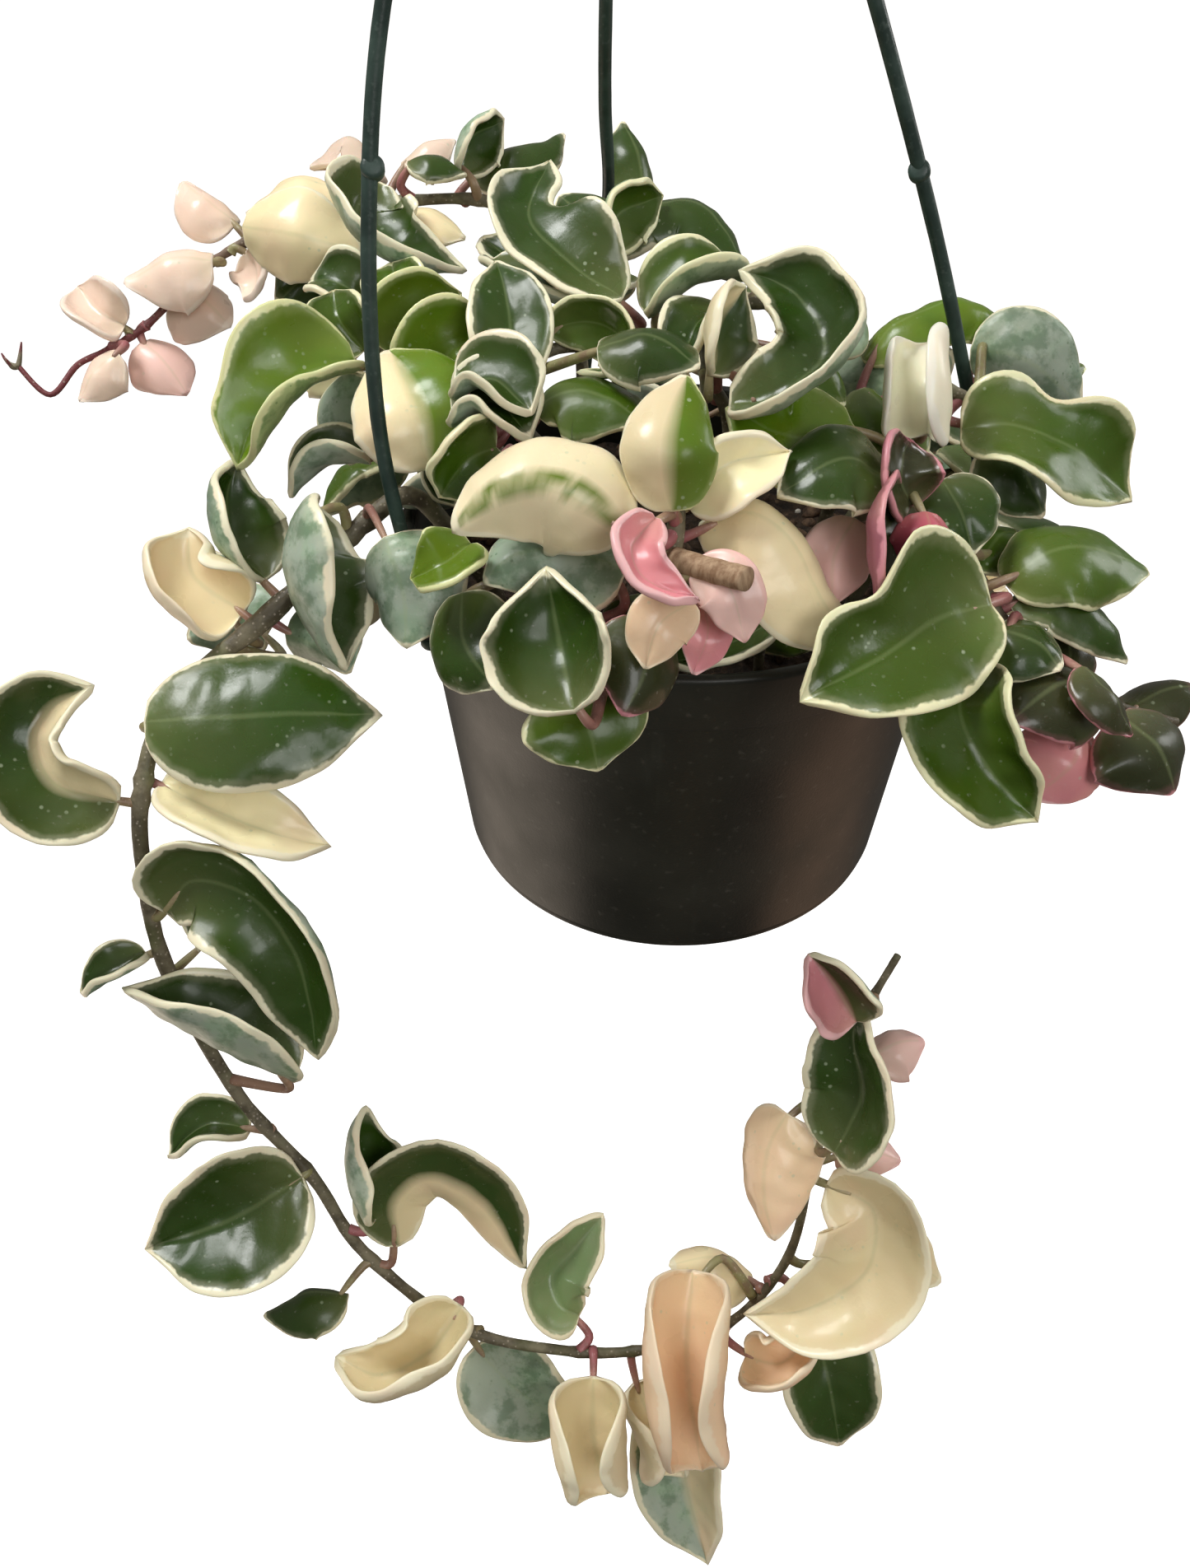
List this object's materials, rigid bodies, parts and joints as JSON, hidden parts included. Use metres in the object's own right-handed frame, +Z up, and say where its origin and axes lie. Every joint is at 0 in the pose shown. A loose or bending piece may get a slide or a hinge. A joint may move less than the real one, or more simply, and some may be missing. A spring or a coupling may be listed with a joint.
{
  "type": "hindu rope plant in a hanging pot",
  "caption": "Variegated hindu rope plant with curled waxy leaves on trailing stems, in a round tapered plastic nursery pot hung from a hook by three moulded strands.",
  "frame": {"origin": "inside top of the hook, where it rests on a rod or bracket", "axes": "+Z up, the front that trails its long stem faces -Y, the hook opens along Y"},
  "size_m": [0.309, 0.2971, 0.5499],
  "materials": {
    "pot_plastic": "satin dark green-black",
    "hanger_plastic": "satin dark green",
    "potting_mix": "rough crumbly dark mix",
    "leafy_stem": "waxy deep green leaves with cream margins, grey-brown stems",
    "cream_stem": "waxy cream and pink leaves, dry brown stub",
    "blush_stem": "waxy peach and cream leaves, burgundy tip"
  },
  "bodies": {
    "root": {"pot": "pot_plastic", "soil": "potting_mix", "hanger_strand_left": "hanger_plastic", "hanger_strand_back": "hanger_plastic", "hanger_strand_right": "hanger_plastic", "hanger_hook": "hanger_plastic", "trailing_vine_left": "leafy_stem", "back_left_vine": "blush_stem", "left_mound_stem": "leafy_stem", "back_mound_stem": "leafy_stem", "front_mound_stem": "leafy_stem", "right_mound_stem": "leafy_stem", "front_cream_stem": "cream_stem", "front_green_stem": "leafy_stem", "front_low_stem": "leafy_stem", "right_upper_stem": "leafy_stem", "right_middle_stem": "leafy_stem", "right_vine": "leafy_stem", "back_right_stem": "leafy_stem", "back_stem": "leafy_stem", "side_left_stem": "leafy_stem", "side_right_stem": "leafy_stem"}
  },
  "joints": []
}
